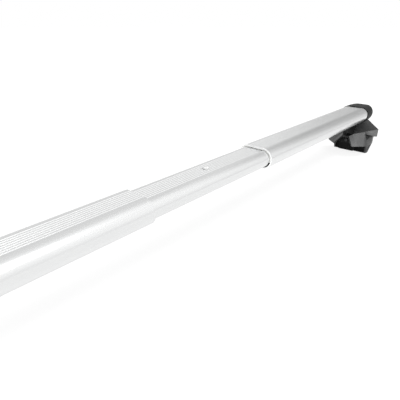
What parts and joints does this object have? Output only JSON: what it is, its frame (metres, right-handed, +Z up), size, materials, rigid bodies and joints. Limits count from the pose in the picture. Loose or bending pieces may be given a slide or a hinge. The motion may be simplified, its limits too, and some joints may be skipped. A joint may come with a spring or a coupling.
{
  "type": "roof rack crossbar",
  "caption": "Telescopic aluminium roof rack crossbar with a grooved oval tube, black end caps and black feet that clamp onto raised roof rails.",
  "frame": {"origin": "on the ground plane under the feet, midway along the bar", "axes": "+X along the bar towards the right end, +Z up to the load deck"},
  "size_m": [1.1436, 0.1132, 0.1052],
  "materials": {
    "bar": "satin anodised",
    "rivet": "satin",
    "nylon": "smooth",
    "cap": "fine grain",
    "foot": "fine grain",
    "jaw": "fine grain",
    "rubber": "matt",
    "steel": "zinc plated",
    "screw": "black oxide"
  },
  "bodies": {
    "centre": {"centre_bar": "bar", "centre_stop": "rivet", "left_glide": "nylon", "right_glide": "nylon"},
    "right_end": {"right_outer_bar": "bar", "right_end_cap": "cap", "right_liner": "nylon", "right_nut_plate": "steel", "right_foot_screws": "screw", "right_foot_body": "foot", "right_rail_pad": "rubber", "right_bolt_washer": "steel"},
    "right_clamp": {"right_jaw": "jaw", "right_jaw_pad": "rubber", "right_jaw_nut": "steel"},
    "right_screw": {"right_clamp_bolt": "screw"},
    "left_end": {"left_outer_bar": "bar", "left_end_cap": "cap", "left_liner": "nylon", "left_nut_plate": "steel", "left_foot_screws": "screw", "left_foot_body": "foot", "left_rail_pad": "rubber", "left_bolt_washer": "steel"},
    "left_clamp": {"left_jaw": "jaw", "left_jaw_pad": "rubber", "left_jaw_nut": "steel"},
    "left_screw": {"left_clamp_bolt": "screw"}
  },
  "joints": [
    {"name": "right_extend", "type": "slide", "parent": "centre", "child": "right_end", "axis": [1, 0, 0], "range_m": [-0.11, 0.115]},
    {"name": "right_bolt_turn", "type": "hinge", "parent": "right_end", "child": "right_screw", "pos_m": [0.5281, 0, 0.0315], "axis": [-1, 0, 0], "range_deg": [-5750, 570]},
    {"name": "right_jaw_slide", "type": "slide", "parent": "right_end", "child": "right_clamp", "axis": [1, 0, 0], "range_m": [-0.02, 0.002]},
    {"name": "left_extend", "type": "slide", "parent": "centre", "child": "left_end", "axis": [-1, 0, 0], "range_m": [-0.11, 0.115]},
    {"name": "left_bolt_turn", "type": "hinge", "parent": "left_end", "child": "left_screw", "pos_m": [-0.5281, 0, 0.0315], "axis": [1, 0, 0], "range_deg": [-5750, 570]},
    {"name": "left_jaw_slide", "type": "slide", "parent": "left_end", "child": "left_clamp", "axis": [-1, 0, 0], "range_m": [-0.02, 0.002]}
  ],
  "couplings": [
    {"joint": "right_jaw_slide", "follows": "right_bolt_turn", "m_per_rad": 0.00019894},
    {"joint": "left_jaw_slide", "follows": "left_bolt_turn", "m_per_rad": 0.00019894}
  ]
}
